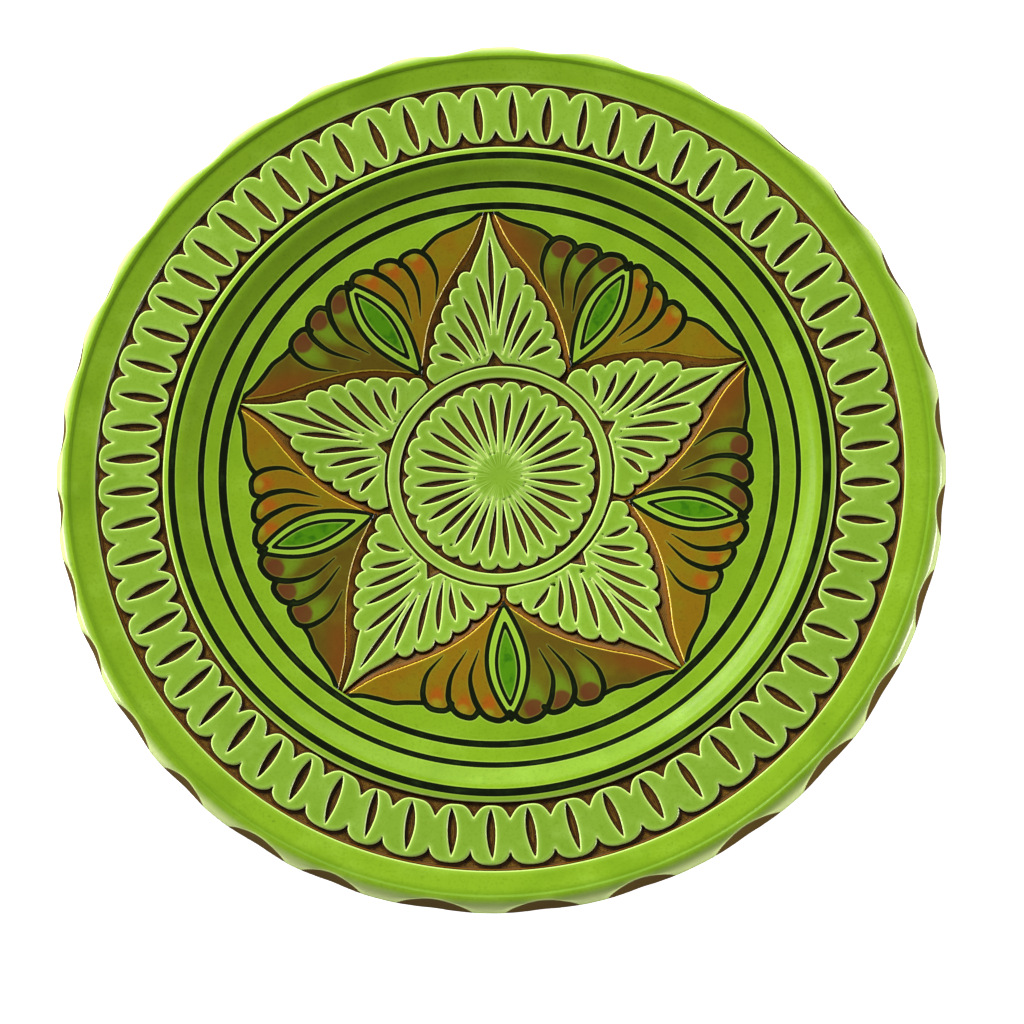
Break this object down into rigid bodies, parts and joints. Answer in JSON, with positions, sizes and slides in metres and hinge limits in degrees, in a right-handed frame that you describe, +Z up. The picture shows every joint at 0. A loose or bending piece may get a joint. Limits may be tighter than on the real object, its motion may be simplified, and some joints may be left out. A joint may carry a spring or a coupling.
{
  "type": "ceramic plate",
  "caption": "Round earthenware plate with a scooped edge, a carved petal frieze, a star of carved leaves with painted palmettes, and a central rosette, under green glaze.",
  "frame": {"origin": "on the table, under the middle of the foot ring", "axes": "+Z up through the middle of the plate, square to the rim; +Y towards the star tip that stands at the top"},
  "size_m": [0.2691, 0.2696, 0.0245],
  "materials": {
    "carved_clay": "satin",
    "green_glaze": "gloss",
    "light_carved_glaze": "gloss",
    "dark_brushed_line": "gloss",
    "amber_brown_wash": "gloss",
    "deep_green_seed": "gloss"
  },
  "bodies": {
    "root": {"clay_body": "carved_clay", "foot_ring": "carved_clay", "rim_border": "green_glaze", "petal_frieze": "light_carved_glaze", "crest_band": "green_glaze", "rim_line": "dark_brushed_line", "cavetto_band": "green_glaze", "well_line_outer": "dark_brushed_line", "well_edge_band": "green_glaze", "well_line_inner": "dark_brushed_line", "star_leaf_1": "light_carved_glaze", "palmette_1": "amber_brown_wash", "palmette_seed_1": "deep_green_seed", "field_1": "green_glaze", "star_leaf_2": "light_carved_glaze", "palmette_2": "amber_brown_wash", "palmette_seed_2": "deep_green_seed", "field_2": "green_glaze", "star_leaf_3": "light_carved_glaze", "palmette_3": "amber_brown_wash", "palmette_seed_3": "deep_green_seed", "field_3": "green_glaze", "star_leaf_4": "light_carved_glaze", "palmette_4": "amber_brown_wash", "palmette_seed_4": "deep_green_seed", "field_4": "green_glaze", "star_leaf_5": "light_carved_glaze", "palmette_5": "amber_brown_wash", "palmette_seed_5": "deep_green_seed", "field_5": "green_glaze", "medallion_ring": "green_glaze", "centre_rosette": "light_carved_glaze"}
  },
  "joints": []
}
